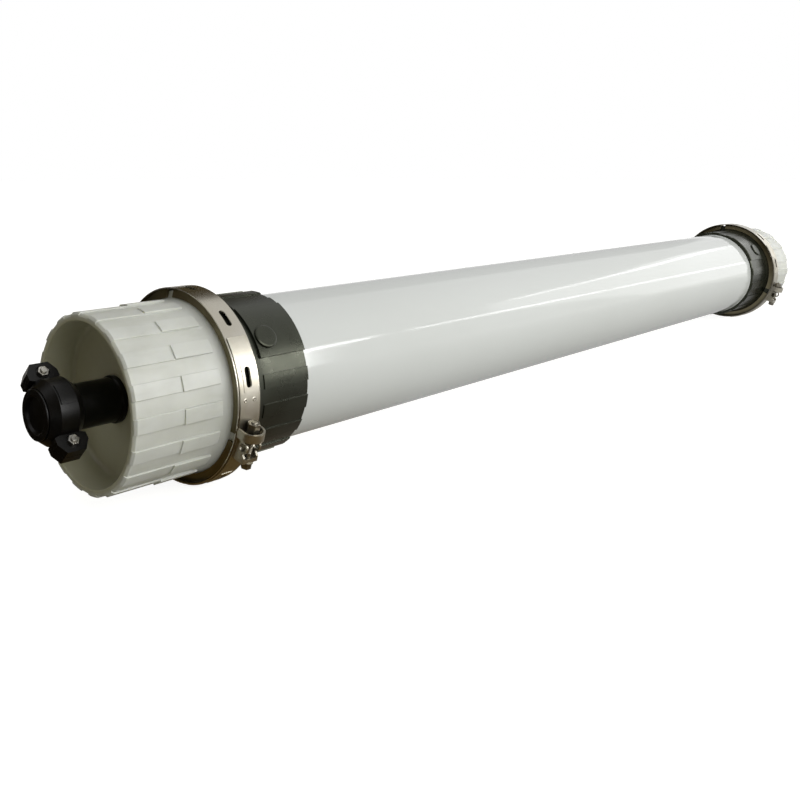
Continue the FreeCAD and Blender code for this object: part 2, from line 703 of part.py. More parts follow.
def make_latch_cup(label):
    # The upper half of the latch: a strap with a half-round cup that takes the nut.
    body = new_body(label)
    turn = size("latch_angle")
    add_strap(body, size("strap_start"), turn, slots_angle - size("band_slot_pitch"))
    outside = size("arch_half_width")
    inside = outside - size("arch_sheet")
    foot = strap_inside
    mouth = size("arch_end")
    floor = -size("arch_start")
    push_tangent(body, lambda sketch: draw_outline(sketch, [
        (-outside, foot), (-outside, bolt_axis), (outside, bolt_axis, "arc"), (outside, foot),
        (inside, foot), (inside, bolt_axis), (-inside, bolt_axis, "arc"), (-inside, foot)]),
        floor, mouth, turn)
    push_tangent(body, lambda sketch: draw_outline(sketch, [
        (-outside, foot), (-outside, bolt_axis), (outside, bolt_axis, "arc"), (outside, foot)]),
        floor, floor + size("arch_floor"), turn)
    push_tangent(body, lambda sketch: draw_circle(sketch, ZERO, bolt_axis, bolt_hole),
                 floor - 1, mouth, turn, "PartDesign::Pocket")
    clear_band(body)
    return body


def make_latch_bracket(label):
    # The lower half of the latch: a strap with two cheeks and a plate that the bolt's head bears on.
    body = new_body(label)
    turn = size("latch_angle")
    eye = size("eye_start")
    mirror = slots_angle * 2 - size("strap_start")
    start = turn + size("bracket_gap")
    add_strap(body, start, mirror, slots_angle + size("band_slot_pitch"))
    low = -(size("bolt_low") - size("glue_gap"))
    top = bolt_axis + size("cheek_height")
    radius = size("eye_radius")
    foot = size("band_radius") * 0.95
    shoulder = -(eye + radius * 2)
    inside = size("cheek_half_gap")
    outside = inside + size("cheek_sheet")

    def draw_cheek(sketch):
        draw_outline(sketch, [
            (low, foot), (-eye, foot), (-eye, bolt_axis), (shoulder, bolt_axis, "arc"),
            (shoulder - 5, top), (low, top)])

    push_along(body, draw_cheek, inside, outside, turn)
    push_along(body, draw_cheek, -outside, -inside, turn)
    push_tangent(body, lambda sketch: draw_outline(
        sketch, rectangle(-outside, outside, foot, top)), low, low + size("cross_plate"), turn)
    push_tangent(body, lambda sketch: draw_circle(sketch, ZERO, bolt_axis, bolt_hole),
                 low - 1, low + size("cross_plate") + 1, turn, "PartDesign::Pocket")
    push_along(body, lambda sketch: draw_circle(
        sketch, -(eye + radius), bolt_axis, size("eye_hole_radius")),
        -outside - 1, outside + 1, turn, "PartDesign::Pocket")
    clear_band(body)
    return body


def make_latch_bolt(label):
    body = new_body(label)
    turn = size("latch_angle")
    head = -size("bolt_low")
    flange = head - size("bolt_flange")
    push_tangent(body, lambda sketch: draw_circle(
        sketch, ZERO, bolt_axis, size("bolt_diameter") / 2), head, size("bolt_high"), turn)
    push_tangent(body, lambda sketch: draw_circle(
        sketch, ZERO, bolt_axis, size("bolt_flange_radius")), flange, head, turn)
    push_tangent(body, lambda sketch: draw_hexagon(
        sketch, ZERO, bolt_axis, size("bolt_flats")), flange - size("bolt_head"), flange, turn)
    return body


def make_latch_nut(label):
    # A flange nut that sits in the latch's cup.
    body = new_body(label)
    turn = size("latch_angle")
    low = -size("arch_start") + size("arch_floor") + size("glue_gap")
    top = low + size("nut_flange")
    bore = size("bolt_diameter") / 2 + size("glue_gap")

    def draw_flange(sketch):
        draw_circle(sketch, ZERO, bolt_axis, size("nut_flange_radius"))
        draw_circle(sketch, ZERO, bolt_axis, bore)

    def draw_nut(sketch):
        draw_hexagon(sketch, ZERO, bolt_axis, size("nut_flats"))
        draw_circle(sketch, ZERO, bolt_axis, bore)

    push_tangent(body, draw_flange, low, top, turn)
    push_tangent(body, draw_nut, top, top + size("nut_height"), turn)
    return body


# Coupling on the plugged port. Places along the axis are from the coupling's middle.

def make_coupling_half(label, turn):
    # One housing. Its middle is on the radius at the angle turn and its ears point along the tangent.
    body = new_body(label)
    half = size("coupling_half_width")
    flat = size("coupling_flat")
    side = size("coupling_side_radius")
    outside = size("coupling_radius")
    pocket = size("pocket_half_width")
    pocket_radius = size("pocket_radius")
    side_bore = pipe_radius + size("seat_gap")
    key_bore = groove_floor + size("seat_gap")
    key_in = size("groove_middle") - size("key_width") / 2
    key_out = size("groove_middle") + size("key_width") / 2
    start = turn - 90 + size("split_angle")
    spin(body, [
        (-half, side_bore), (-key_out, side_bore), (-key_out, key_bore), (-key_in, key_bore),
        (-key_in, side_bore), (-pocket, side_bore), (-pocket, pocket_radius),
        (pocket, pocket_radius), (pocket, side_bore), (key_in, side_bore), (key_in, key_bore),
        (key_out, key_bore), (key_out, side_bore), (half, side_bore), (half, side),
        (flat, outside), (-flat, outside), (-half, side)],
        start, 180 - size("split_angle") * 2)
    boss_half = size("boss_half_width")
    boss = spin(body, rectangle(-boss_half, boss_half, outside - 1, outside + size("boss_height")),
                turn - size("boss_span") / 2, size("boss_span"))
    body.Tip = boss
    inner = (pocket_radius + outside) / 2
    wide = size("ear_half_width")
    tip = size("ear_tip_half_width")
    shoulder = size("ear_shoulder")
    reach = size("ear_reach")

    def draw_ears(sketch):
        for sign in (1, -1):
            draw_outline(sketch, [
                (-flat, inner * sign), (flat, inner * sign), (wide, (inner + 3) * sign),
                (wide, shoulder * sign), (tip, reach * sign), (-tip, reach * sign),
                (-wide, shoulder * sign), (-wide, (inner + 3) * sign)])

    def draw_rounds(sketch, radius):
        for sign in (1, -1):
            draw_circle(sketch, ZERO, size("ear_place") * sign, radius)

    split = size("coupling_split") / 2
    top = size("ear_thickness")
    push_outwards(body, draw_ears, split, top, turn)
    push_outwards(body, lambda sketch: draw_rounds(sketch, size("ear_pocket_radius")),
                  top - size("ear_pocket_depth"), top + 10, turn, "PartDesign::Pocket")
    push_outwards(body, lambda sketch: draw_rounds(
        sketch, size("coupling_bolt") / 2 + size("seat_gap")),
        ZERO, top + 1, turn, "PartDesign::Pocket")
    return body


def make_gasket(label):
    # A rubber ring over the joint, with a hollow in its bore.
    body = new_body(label)
    half = size("pocket_half_width") - size("glue_gap")
    outside = size("pocket_radius") - size("glue_gap")
    inside = pipe_radius + size("glue_gap")
    hollow = (inside + outside) / 2
    lip = half / 3
    spin(body, [
        (-half, inside), (-lip, inside), (-lip * 2, hollow), (lip * 2, hollow), (lip, inside),
        (half, inside), (half, outside), (-half, outside)])
    return body


def make_blank_plug(label):
    # Closes the pipe's end. It has the same groove as the pipe and a dish in its front disc.
    body = new_body(label)
    inner = -size("pipe_gap") / 2
    groove_start = inner - size("groove_place")
    groove_end = groove_start - size("groove_width")
    face = groove_end - size("blank_disc")
    disc = size("blank_disc_radius")
    dish = size("blank_dish_radius")
    depth = size("plug_dish_depth")
    spin(body, [
        (face + depth, ZERO), (inner, ZERO), (inner, pipe_radius), (groove_start, pipe_radius),
        (groove_start, groove_floor), (groove_end, groove_floor), (groove_end, disc), (face, disc),
        (face, dish), (face + depth, dish - depth / 2)])
    return body


def make_coupling_bolt(label, place_on_tangent):
    # Its head is on the back half and its end stands out of the nut on the front half.
    body = new_body(label)
    seat = size("ear_thickness") - size("ear_pocket_depth") + size("glue_gap")
    head = size("coupling_head")
    push_outwards(body, lambda sketch: draw_circle(
        sketch, ZERO, place_on_tangent, size("coupling_bolt") / 2),
        -seat, seat + head * 1.4, coupling_middle)
    push_outwards(body, lambda sketch: draw_hexagon(
        sketch, ZERO, place_on_tangent, size("coupling_flats")), -(seat + head), -seat, coupling_middle)
    return body


def make_coupling_nut(label, place_on_tangent):
    body = new_body(label)
    seat = size("ear_thickness") - size("ear_pocket_depth") + size("glue_gap")

    def draw(sketch):
        draw_hexagon(sketch, ZERO, place_on_tangent, size("coupling_flats"))
        draw_circle(sketch, ZERO, place_on_tangent, size("coupling_bolt") / 2 + size("glue_gap"))

    push_outwards(body, draw, seat, seat + size("coupling_head"), coupling_middle)
    return body


def make_group(label, members):
    group = doc.addObject("Part::Compound", label)
    group.Label = label
    group.Links = members
    return group


nodes = []
nodes.append(make_shell_tube("shell_tube"))
nodes.append(make_fibre_bundle("fibre_bundle"))
nodes.append(make_bundle_net("bundle_net"))

for side, sign in (("near", -1), ("far", 1)):
    far = side == "far"
    joint = joint_face * sign
    seal_place = joint - size("seal_thickness") / 2 * (-sign)
    plug_place = joint - plug_middle * sign
    for piece in (make_end_socket(side + "_end_socket", far), make_potting(side + "_potting"),
                  make_end_cap(side + "_end_cap", far), make_port_pipe(side + "_port_pipe")):
        nodes.append(place_far(piece) if far else place(piece, joint))
    nodes.append(place(make_side_plug(side + "_side_plug"), plug_place, size("plug_angle")))
    nodes.append(make_seal_ring(side + "_cap_seal", seal_place))
    nodes.append(place(make_clamp_band(side + "_clamp_band"), joint))
    for index, word in enumerate(("lower", "back", "upper")):
        nodes.append(place(make_retainer(side + "_retainer_" + word, index), joint))
    nodes.append(place(make_latch_cup(side + "_latch_cup"), joint))
    nodes.append(place(make_latch_bracket(side + "_latch_bracket"), joint))
    nodes.append(place(make_latch_bolt(side + "_latch_bolt"), joint))
    nodes.append(place(make_latch_nut(side + "_latch_nut"), joint))

middle = coupling_centre - joint_face
nodes.append(place(make_coupling_half("coupling_front_half", coupling_middle), middle))
nodes.append(place(make_coupling_half("coupling_back_half", coupling_middle + 180), middle))
nodes.append(place(make_gasket("coupling_gasket"), middle))
nodes.append(place(make_blank_plug("blank_plug"), middle))
bolts = [place(make_coupling_bolt("coupling_bolt_%d" % number, size("ear_place") * sign), middle)
         for number, sign in ((1, 1), (2, -1))]
nuts = [place(make_coupling_nut("coupling_nut_%d" % number, size("ear_place") * sign), middle)
        for number, sign in ((1, 1), (2, -1))]
nodes.append(make_group("coupling_bolts", bolts))
nodes.append(make_group("coupling_nuts", nuts))

doc.recompute()

faults = []
for thing in doc.Objects:
    if "Invalid" in thing.State or "Error" in thing.State:
        faults.append("%s: %s" % (thing.Label, thing.State))
for node in nodes:
    if node.Shape.isNull() or not node.Shape.isValid():
        faults.append("%s: shape" % node.Label)
if faults:
    raise RuntimeError("; ".join(faults))

os.makedirs("parts", exist_ok=True)
for node in nodes:
    node.Shape.exportStep("parts/%s.step" % node.Label)
    box = node.Shape.BoundBox
    print("%-24s solids %d  x %.1f %.1f  y %.1f %.1f  z %.1f %.1f" % (
        node.Label, len(node.Shape.Solids), box.XMin, box.XMax, box.YMin, box.YMax, box.ZMin, box.ZMax))
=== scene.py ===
import bpy
import bmesh
import json
import math
from mathutils import Matrix, Vector


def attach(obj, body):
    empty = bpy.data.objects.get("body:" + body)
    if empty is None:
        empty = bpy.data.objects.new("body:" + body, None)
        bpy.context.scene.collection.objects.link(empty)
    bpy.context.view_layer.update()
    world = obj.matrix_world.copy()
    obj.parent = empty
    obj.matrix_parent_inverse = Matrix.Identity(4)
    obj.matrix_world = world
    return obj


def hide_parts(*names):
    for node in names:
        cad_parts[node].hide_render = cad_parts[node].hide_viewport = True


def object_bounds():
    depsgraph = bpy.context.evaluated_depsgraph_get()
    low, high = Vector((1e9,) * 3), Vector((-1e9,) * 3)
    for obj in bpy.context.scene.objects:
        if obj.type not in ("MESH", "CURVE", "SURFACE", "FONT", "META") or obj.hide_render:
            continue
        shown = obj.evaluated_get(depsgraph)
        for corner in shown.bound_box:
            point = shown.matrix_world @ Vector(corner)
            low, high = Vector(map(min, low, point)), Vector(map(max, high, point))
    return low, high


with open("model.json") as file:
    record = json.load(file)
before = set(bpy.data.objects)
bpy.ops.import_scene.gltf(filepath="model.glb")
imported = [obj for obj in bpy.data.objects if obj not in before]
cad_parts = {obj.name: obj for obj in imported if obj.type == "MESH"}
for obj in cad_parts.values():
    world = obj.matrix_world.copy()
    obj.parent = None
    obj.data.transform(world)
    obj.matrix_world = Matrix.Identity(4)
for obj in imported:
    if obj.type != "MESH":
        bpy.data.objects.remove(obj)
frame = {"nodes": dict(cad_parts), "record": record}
cadLow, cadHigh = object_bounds()
nodes = frame["nodes"]
mm = 0.001
ends = (("near", -1), ("far", 1))
print("frame loaded, nodes:", len(nodes))


# Node helpers

def hexColour(text):
    # sRGB hex to the linear values that sockets take
    values = []
    for start in (0, 2, 4):
        level = int(text[start:start + 2], 16) / 255
        values.append(level / 12.92 if level <= 0.04045 else ((level + 0.055) / 1.055) ** 2.4)
    return (*values, 1.0)


white = hexColour("FFFFFF")


def addNode(tree, kind, inputs=None, **settings):
    node = tree.nodes.new(kind)
    for name, value in settings.items():
        setattr(node, name, value)
    for name, value in (inputs or {}).items():
        if isinstance(value, bpy.types.NodeSocket):
            tree.links.new(value, node.inputs[name])
        else:
            node.inputs[name].default_value = value
    return node


def newMaterial(name):
    material = bpy.data.materials.new(name)
    material.use_nodes = True
    tree = material.node_tree
    tree.nodes.clear()
    return material, tree


def objectPlace(tree):
    return addNode(tree, "ShaderNodeTexCoord").outputs["Object"]


def drawOut(tree, place, along):
    # Textures read at this place are drawn out along the tube, the more the smaller the number
    return addNode(tree, "ShaderNodeMapping", {
        "Vector": place, "Scale": (along, 1.0, 1.0)}).outputs["Vector"]


def addNoise(tree, place, size, detail, roughness=0.5):
    # Noise with patches of about this size in millimetres
    return addNode(tree, "ShaderNodeTexNoise", {
        "Vector": place, "Scale": 1 / (size * mm), "Detail": detail,
        "Roughness": roughness}).outputs["Fac"]


def mapRange(tree, value, before, after):
    return addNode(tree, "ShaderNodeMapRange", {
        "Value": value, "From Min": before[0], "From Max": before[1],
        "To Min": after[0], "To Max": after[1]}).outputs["Result"]


def mixColours(tree, amount, first, second):
    return addNode(tree, "ShaderNodeMix", {0: amount, 6: first, 7: second},
                   data_type="RGBA").outputs[2]


def calculate(tree, operation, first, second, **settings):
    return addNode(tree, "ShaderNodeMath", {0: first, 1: second},
                   operation=operation, **settings).outputs[0]


def addBump(tree, height, strength, distance, inputs=None):
    return addNode(tree, "ShaderNodeBump", {
        "Height": height, "Strength": strength, "Distance": distance * mm,
        **(inputs or {})}).outputs["Normal"]


def addSurface(tree, inputs):
    shader = addNode(tree, "ShaderNodeBsdfPrincipled", inputs)
    addNode(tree, "ShaderNodeOutputMaterial", {"Surface": shader.outputs["BSDF"]})


# Materials

# Part of a noise's range that is used, and depths of the surface marks in millimetres
cloudRange = (0.35, 0.65)
glossRange = (0.3, 0.7)
scuffRange = (0.45, 0.75)
patchRange = (0.4, 0.7)
dirtEnd = 0.8
grainDepth = 0.05
lineDepth = 0.1
waveDepth = 2.0
markDepth = 0.03


def spread(look):
    return look["roughness"] - look["roughnessSpread"], look["roughness"] + look["roughnessSpread"]


def stainInside(tree, place, colour, look):
    # Painted shade: the cup's inside is darkened and tinted olive, fading out between two radii
    # round the axis
    across = addNode(tree, "ShaderNodeVectorMath", {0: place, 1: (0.0, 1.0, 1.0)},
                     operation="MULTIPLY").outputs["Vector"]
    radius = addNode(tree, "ShaderNodeVectorMath", {0: across}, operation="LENGTH").outputs["Value"]
    inside = mapRange(tree, radius, (look["insideShadeInner"] * mm, look["insideShadeOuter"] * mm),
                      (look["insideShadeAmount"], 0.0))
    return mixColours(tree, inside, colour, hexColour(look["insideShade"]))


def mouldedPlastic(name, look):
    # Injection-moulded plastic: an even colour with faint clouding, a fine spark-eroded skin that
    # breaks up the gloss, and dirt that lies in thin streaks along the draw.
    material, tree = newMaterial(name)
    place = objectPlace(tree)
    cloud = addNoise(tree, place, look["cloudSize"], 3.0, 0.55)
    streak = addNoise(tree, drawOut(tree, place, look["streakAlong"]), look["streakSize"], 4.0)
    skin = addNoise(tree, place, look["grainSize"], 2.0)
    clouded = mapRange(tree, cloud, cloudRange, (0.0, 1.0))
    base = mixColours(tree, clouded, hexColour(look["colour"]), hexColour(look["clouded"]))
    dirtAmount = mapRange(tree, streak, (look["dirtStart"], dirtEnd), (0.0, look["dirtAmount"]))
    colour = mixColours(tree, dirtAmount, base, hexColour(look["dirt"]))
    # Painted shade inside the cup, where the look asks for it
    if "insideShade" in look:
        colour = stainInside(tree, place, colour, look)
    addSurface(tree, {
        "Base Color": colour, "Roughness": mapRange(tree, cloud, glossRange, spread(look)),
        "IOR": look["ior"], "Specular IOR Level": look.get("specular", 0.5),
        "Specular Tint": hexColour(look.get("sheen", "FFFFFF")),
        "Subsurface Weight": look.get("depthWeight", 0.0), "Subsurface Radius": (1.0, 1.0, 0.85),
        "Subsurface Scale": look.get("depth", 1.0) * mm,
        "Normal": addBump(tree, skin, look["grainStrength"], grainDepth)})
    return material


def extrudedPipe(name, look):
    # Extruded PVC-U pipe: hard and glossy, with long faint draw lines that bend the reflections,
    # and a little dust and scuffing from handling.
    material, tree = newMaterial(name)
    place = objectPlace(tree)
    lines = addNoise(tree, drawOut(tree, place, look["drawAlong"]), look["lineSize"], 3.0)
    waves = addNoise(tree, place, look["waveSize"], 1.0)
    scuff = addNoise(tree, place, look["scuffSize"], 8.0, 0.7)
    tint = mixColours(tree, waves, hexColour(look["colour"]), hexColour(look["clouded"]))
    gloss = mapRange(tree, scuff, scuffRange,
                     (look["roughness"], look["roughness"] + look["scuffRoughness"]))
    fine = addBump(tree, lines, look["lineStrength"], lineDepth)
    addSurface(tree, {
        "Base Color": tint, "Roughness": gloss, "IOR": look["ior"],
        "Specular IOR Level": look.get("specular", 0.5),
        "Normal": addBump(tree, waves, look["waveStrength"], waveDepth, {"Normal": fine})})
    return material


def rolledSteel(name, look):
    # Stainless sheet and turned screws: bright metal with fine marks round the axis, and a faint
    # straw tint where it was heated or handled.
    material, tree = newMaterial(name)
    place = objectPlace(tree)
    marks = addNoise(tree, drawOut(tree, place, look["markAcross"]), look["markSize"], 4.0)
    patch = addNoise(tree, place, look["patchSize"], 3.0)
    tintAmount = mapRange(tree, patch, patchRange, (0.0, look["tintAmount"]))
    addSurface(tree, {
        "Base Color": mixColours(
            tree, tintAmount, hexColour(look["colour"]), hexColour(look["tint"])),
        "Roughness": mapRange(tree, marks, glossRange, spread(look)), "Metallic": 1.0,
        "Normal": addBump(tree, marks, look["markStrength"], markDepth)})
    return material


capLook = {
    "colour": "D3D5CE", "clouded": "C9CBC3", "dirt": "8F8C7C", "cloudSize": 60.0,
    "streakSize": 18.0, "streakAlong": 0.25, "dirtStart": 0.56, "dirtAmount": 0.18,
    "grainSize": 0.9, "grainStrength": 0.25, "roughness": 0.42, "roughnessSpread": 0.05,
    "ior": 1.53, "depthWeight": 0.8, "depth": 5.0,
    # Painted shade: the cup's inside is darkened and tinted olive between these radii
    "insideShade": "B4B294", "insideShadeAmount": 0.8, "insideShadeInner": 112.5, "insideShadeOuter": 120.0}
socketLook = {
    "colour": "10120C", "clouded": "171914", "dirt": "4C4C40", "cloudSize": 35.0,
    "streakSize": 12.0, "streakAlong": 0.3, "dirtStart": 0.52, "dirtAmount": 0.1,
    "grainSize": 0.8, "grainStrength": 0.04, "roughness": 0.29, "roughnessSpread": 0.05,
    "ior": 1.53, "specular": 0.42, "sheen": "FAFFE2"}
couplingLook = {
    "colour": "070706", "clouded": "0B0A09", "dirt": "2C2B27", "cloudSize": 20.0,
    "streakSize": 8.0, "streakAlong": 1.0, "dirtStart": 0.58, "dirtAmount": 0.15,
    "grainSize": 0.7, "grainStrength": 0.3, "roughness": 0.36, "roughnessSpread": 0.06,
    "ior": 1.53, "specular": 0.22}
rubberLook = {
    "colour": "161616", "clouded": "1C1C1C", "dirt": "4A4A46", "cloudSize": 20.0,
    "streakSize": 8.0, "streakAlong": 1.0, "dirtStart": 0.6, "dirtAmount": 0.1,
    "grainSize": 0.6, "grainStrength": 0.3, "roughness": 0.7, "roughnessSpread": 0.05,
    "ior": 1.52}
resinLook = {
    "colour": "D8CCAC", "clouded": "CFC29E", "dirt": "A3977A", "cloudSize": 25.0,
    "streakSize": 10.0, "streakAlong": 1.0, "dirtStart": 0.6, "dirtAmount": 0.1,
    "grainSize": 1.0, "grainStrength": 0.05, "roughness": 0.15, "roughnessSpread": 0.03,
    "ior": 1.5}
fibreLook = {
    "colour": "EEEEE8", "clouded": "E2E2DA", "dirt": "C0C0B4", "cloudSize": 12.0,
    "streakSize": 1.6, "streakAlong": 0.01, "dirtStart": 0.45, "dirtAmount": 0.5,
    "grainSize": 1.2, "grainStrength": 0.4, "roughness": 0.6, "roughnessSpread": 0.05,
    "ior": 1.42}
tubeLook = {
    "colour": "D6D9D6", "clouded": "D0D3CF", "lineSize": 1.4, "drawAlong": 0.004,
    "waveSize": 260.0, "scuffSize": 45.0, "roughness": 0.07, "scuffRoughness": 0.1,
    "lineStrength": 0.05, "waveStrength": 0.45, "ior": 1.53}
portLook = {
    "colour": "060605", "clouded": "0A0A08", "lineSize": 1.2, "drawAlong": 0.01,
    "waveSize": 60.0, "scuffSize": 15.0, "roughness": 0.28, "scuffRoughness": 0.2,
    "lineStrength": 0.1, "waveStrength": 0.1, "ior": 1.53, "specular": 0.2}
bandLook = {
    "colour": "B2AEA3", "tint": "948B70", "tintAmount": 0.4, "markSize": 9.0, "markAcross": 9.0,
    "patchSize": 90.0, "roughness": 0.25, "roughnessSpread": 0.02, "markStrength": 0.03}
# Painted shade: the band's stainless steel made darker and browner for the retainer, which sits in
# the shade under the band's edges
retainerLook = {
    "colour": "7C7660", "tint": "544D36", "tintAmount": 0.6, "markSize": 8.0, "markAcross": 8.0,
    "patchSize": 60.0, "roughness": 0.36, "roughnessSpread": 0.05, "markStrength": 0.05}
latchLook = {
    "colour": "B3AFA3", "tint": "958D74", "tintAmount": 0.4, "markSize": 6.0, "markAcross": 6.0,
    "patchSize": 20.0, "roughness": 0.38, "roughnessSpread": 0.05, "markStrength": 0.05}
# Painted shade: the screw steel made darker and browner for the latch bolt and nut, which sit in
# the shade of the latch cup
latchScrewLook = {
    "colour": "8B877C", "tint": "575040", "tintAmount": 0.6, "markSize": 3.0, "markAcross": 1.0,
    "patchSize": 10.0, "roughness": 0.34, "roughnessSpread": 0.05, "markStrength": 0.1}
screwLook = {
    "colour": "B4B2AC", "tint": "8E8874", "tintAmount": 0.35, "markSize": 3.0, "markAcross": 1.0,
    "patchSize": 10.0, "roughness": 0.32, "roughnessSpread": 0.08, "markStrength": 0.2}

materials = {
    "cap_plastic": mouldedPlastic("ABS moulded pale grey", capLook),
    "socket_plastic": mouldedPlastic("PVC-U moulded dark grey", socketLook),
    "coupling_plastic": mouldedPlastic("glass-filled nylon moulded black", couplingLook),
    "seal_rubber": mouldedPlastic("EPDM rubber moulded black", rubberLook),
    "resin": mouldedPlastic("epoxy resin cast amber", resinLook),
    "fibre_white": mouldedPlastic("PVDF hollow fibre spun white", fibreLook),
    "net_plastic": mouldedPlastic("PE net extruded white", fibreLook),
    "tube_plastic": extrudedPipe("PVC-U extruded white", tubeLook),
    "pipe_plastic": extrudedPipe("PVC-U extruded black", portLook),
    "clamp_steel": rolledSteel("stainless sheet rolled", bandLook),
    "bolt_steel": rolledSteel("stainless screw turned", screwLook),
}
# Pieces with a finish of their own beside their slot's, found by a word in the node's name. The
# retainer's and the latch screws' finishes are darker copies of the steel: painted shade.
otherFinish = {
    "retainer": rolledSteel("stainless sheet dulled with painted shade", retainerLook),
    "latch_cup": rolledSteel("stainless sheet pickled", latchLook),
    "latch_bolt": rolledSteel("stainless screw with painted shade", latchScrewLook),
}
otherFinish["latch_bracket"] = otherFinish["latch_cup"]
otherFinish["latch_nut"] = otherFinish["latch_bolt"]
print("materials made:", len(bpy.data.materials))


# Mesh helpers

def shadeSmooth(mesh, edgeAngle):
    # Smooth shading that stops at edges sharper than the angle
    for face in mesh.faces:
        face.smooth = True
        face.material_index = 0
    for edge in mesh.edges:
        edge.smooth = edge.is_manifold and edge.calc_face_angle() < math.radians(edgeAngle)


def newObject(name, mesh):
    data = bpy.data.meshes.new(name)
    mesh.to_mesh(data)
    mesh.free()
    thing = bpy.data.objects.new(name, data)
    bpy.context.scene.collection.objects.link(thing)
    return thing


# CAD nodes with rounded edges

# Lengths in millimetres and angles in degrees
dressing = {"mergeDistance": 0.005, "flatAngle": 0.5, "edgeAngle": 28, "bevelSegments": 2}
edgeRadii = {
    "end_cap": 1.5, "end_socket": 0.8, "side_plug": 0.6, "port_pipe": 0.5, "clamp_band": 0.25,
    "latch_cup": 0.4, "latch_bracket": 0.4, "latch_bolt": 0.5, "latch_nut": 0.5,
    "coupling_front_half": 1.0, "coupling_back_half": 1.0, "blank_plug": 0.8,
    "coupling_bolts": 0.5, "coupling_nuts": 0.5, "shell_tube": 0.0, "retainer": 0.3}
slotOf = {part["node"]: part["material_slot"] for part in frame["record"]["subparts"]}


def dressNode(node, edgeRadius):
    # A merged copy of the CAD mesh, with flat faces joined and real edges rounded
    slotName = slotOf[node]
    piece = bpy.data.objects.new(node + "_dressed", nodes[node].data.copy())
    bpy.context.scene.collection.objects.link(piece)
    mesh = bmesh.new()
    mesh.from_mesh(piece.data)
    bmesh.ops.remove_doubles(mesh, verts=mesh.verts, dist=dressing["mergeDistance"] * mm)
    bmesh.ops.dissolve_limit(mesh, angle_limit=math.radians(dressing["flatAngle"]),
                             verts=mesh.verts, edges=mesh.edges)
    shadeSmooth(mesh, dressing["edgeAngle"])
    mesh.to_mesh(piece.data)
    mesh.free()
    piece.data.materials.clear()
    piece.data.materials.append(materials[slotName])
    if edgeRadius:
        bevel = piece.modifiers.new("rounded edges", "BEVEL")
        bevel.width = edgeRadius * mm
        bevel.segments = dressing["bevelSegments"]
        bevel.limit_method = "ANGLE"
        bevel.angle_limit = math.radians(dressing["edgeAngle"])
        bevel.harden_normals = True
        bevel.use_clamp_overlap = True
    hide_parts(node)
    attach(piece, "root")
    for word, finish in otherFinish.items():
        if word in node:
            piece.data.materials[0] = finish


for node in sorted(nodes):
    radius = [value for word, value in edgeRadii.items() if word in node]
    if radius:
        dressNode(node, radius[0])
    else:
        nodes[node].data.materials.clear()
        nodes[node].data.materials.append(materials[slotOf[node]])
print("nodes dressed")


# Details too small for the CAD model. Sizes are in millimetres, angles in degrees.

clampCentre = 991.8
thread = {
    "pitch": 1.25, "steps": 32, "fadeTurns": 0.25, "foot": 3.9, "crest": 4.3,
    "profile": [(0.0, 0), (0.3, 1), (0.5, 1), (0.85, 0)]}
latchThread = {"turn": 106.6, "radius": 151.0, "runs": [(-30.0, 20.0), (14.3, 2.6)]}
couplingThread = {"centre": -1193.4, "turn": 46.6, "place": 51.5, "begin": 17.3, "length": 2.0}
spots = {
    "surface": 141.35, "turns": (72.5, 89.5), "offset": 7.5, "steps": 32,
    "profile": [(0.4, 0.06), (1.3, 0.08), (2.0, 0.3), (2.7, 0.3), (3.3, -0.08), (0.5, -0.08)]}
bead = {
    "mouth": 865.8, "surface": 112.45, "steps": 180, "size": 1.5,
    "waves": [(0.16, 3, 1), (0.1, 8, 0)],
    "profile": [(-0.3, 0.0), (1.0, 0.0), (0.62, 0.14), (0.3, 0.34), (0.1, 0.7), (-0.3, 0.9)]}


def outwards(turn):
    # The direction away from the tube's axis, at an angle from the top towards the camera's side
    return Vector((0, -math.sin(math.radians(turn)), math.cos(math.radians(turn))))


def wrapPoint(x, turn, surface, side, height):
    # A point beside a place on a cylinder, measured along its surface, and raised off it
    out = outwards(turn + math.degrees(side / surface))
    return out * (surface + height) * mm + Vector((x * mm, 0, 0))


def addPiece(name, mesh, slotName, edgeAngle=40):
    bmesh.ops.recalc_face_normals(mesh, faces=mesh.faces)
    shadeSmooth(mesh, edgeAngle)
    piece = newObject(name, mesh)
    piece.data.materials.append(materials[slotName])
    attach(piece, "root")
    return piece


def joinRows(mesh, rows, closed):
    # Faces between neighbouring rows of vertices. Each row is a loop. Ends are capped, or joined.
    pairs = list(zip(rows, rows[1:]))
    if closed:
        pairs.append((rows[-1], rows[0]))
    else:
        mesh.faces.new(rows[0])
        mesh.faces.new(reversed(rows[-1]))
    for first, second in pairs:
        for place in range(len(first)):
            after = (place + 1) % len(first)
            mesh.faces.new((first[place], first[after], second[after], second[place]))


def cutThread(mesh, start, axis, length):
    # The ridge of a screw thread: a helix that fades in and out over its first and last part turn
    side = axis.orthogonal().normalized()
    other = axis.cross(side)
    steps = thread["steps"]
    fadeSteps = steps * thread["fadeTurns"]
    last = int(length / thread["pitch"] * steps)
    rows = []
    for step in range(last + 1):
        turn = 2 * math.pi * step / steps
        out = side * math.cos(turn) + other * math.sin(turn)
        fade = min(1, step / fadeSteps, (last - step) / fadeSteps)
        row = []
        for along, rise in thread["profile"]:
            radius = thread["foot"] + (thread["crest"] - thread["foot"]) * rise * fade
            climb = thread["pitch"] * (step / steps + along)
            row.append(mesh.verts.new(start + (axis * climb + out * radius) * mm))
        rows.append(row)
    joinRows(mesh, rows, False)


def addLatchThreads():
    out = outwards(latchThread["turn"])
    up = Vector((1, 0, 0)).cross(out)
    if up.z < 0:
        up = -up
    for end, sign in ends:
        mesh = bmesh.new()
        foot = (Vector((clampCentre * sign, 0, 0)) + out * latchThread["radius"]) * mm
        for begin, length in latchThread["runs"]:
            cutThread(mesh, foot + up * begin * mm, up, length)
        piece = addPiece(end + "_latch_bolt_thread", mesh, "bolt_steel")
        piece.data.materials[0] = otherFinish["latch_bolt"]


